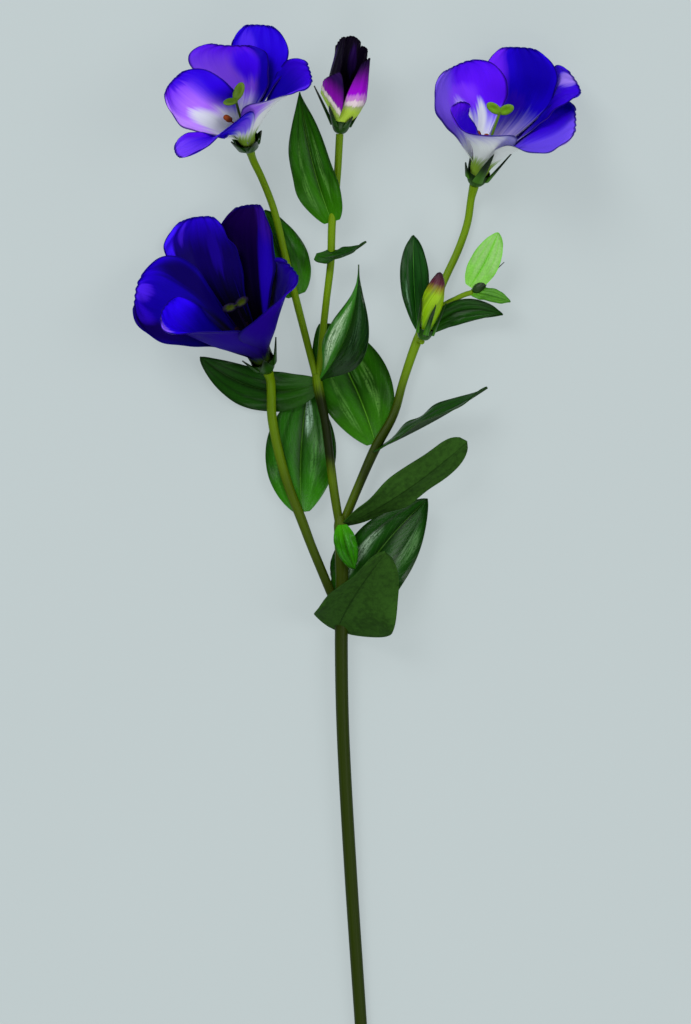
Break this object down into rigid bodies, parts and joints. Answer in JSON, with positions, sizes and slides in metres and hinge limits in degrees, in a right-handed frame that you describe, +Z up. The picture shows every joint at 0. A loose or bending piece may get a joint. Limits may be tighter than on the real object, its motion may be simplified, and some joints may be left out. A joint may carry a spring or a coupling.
{
  "type": "lisianthus flower",
  "caption": "Cut lisianthus spray lying on its back: a branching stem with open violet blooms, unopened buds and pointed green leaves.",
  "frame": {"origin": "middle of the box's base, on the surface that the spray lies on", "axes": "+Z up from the surface, +Y along the stem from its cut end to the blooms, +X to the right as the blooms look up"},
  "size_m": [0.2233, 0.5466, 0.0802],
  "materials": {
    "stem": "satin",
    "leaf": "satin",
    "young_leaf": "satin",
    "calyx": "satin",
    "petal": "satin",
    "bud": "satin",
    "pistil": "matte",
    "stamens": "matte"
  },
  "bodies": {
    "root": {"stem": "stem", "leaf_half_open_bud_upper": "leaf", "leaf_half_open_bud_lower": "leaf", "leaf_top_left_bloom": "leaf", "leaf_fork_left": "leaf", "leaf_fork_right": "leaf", "leaf_left_bloom": "leaf", "leaf_right_branch_left": "leaf", "leaf_right_branch_right": "leaf", "leaf_branching_right": "leaf", "leaf_branching_front": "leaf", "leaf_lowest_back": "leaf", "leaf_lowest_front": "leaf", "leaf_lowest_left": "leaf", "leaf_closed_bud_left": "leaf", "leaf_closed_bud_right": "leaf", "leaf_forming_bud_upper": "young_leaf", "leaf_forming_bud_lower": "young_leaf", "top_left_bloom_calyx": "calyx", "top_left_bloom_corolla": "petal", "top_left_bloom_pistil": "pistil", "top_left_bloom_stamens": "stamens", "left_bloom_calyx": "calyx", "left_bloom_corolla": "petal", "left_bloom_pistil": "pistil", "left_bloom_stamens": "stamens", "right_bloom_calyx": "calyx", "right_bloom_corolla": "petal", "right_bloom_pistil": "pistil", "right_bloom_stamens": "stamens", "half_open_bud_calyx": "calyx", "half_open_bud_corolla": "petal", "closed_bud_calyx": "calyx", "closed_bud_corolla": "bud", "forming_bud": "calyx"}
  },
  "joints": []
}
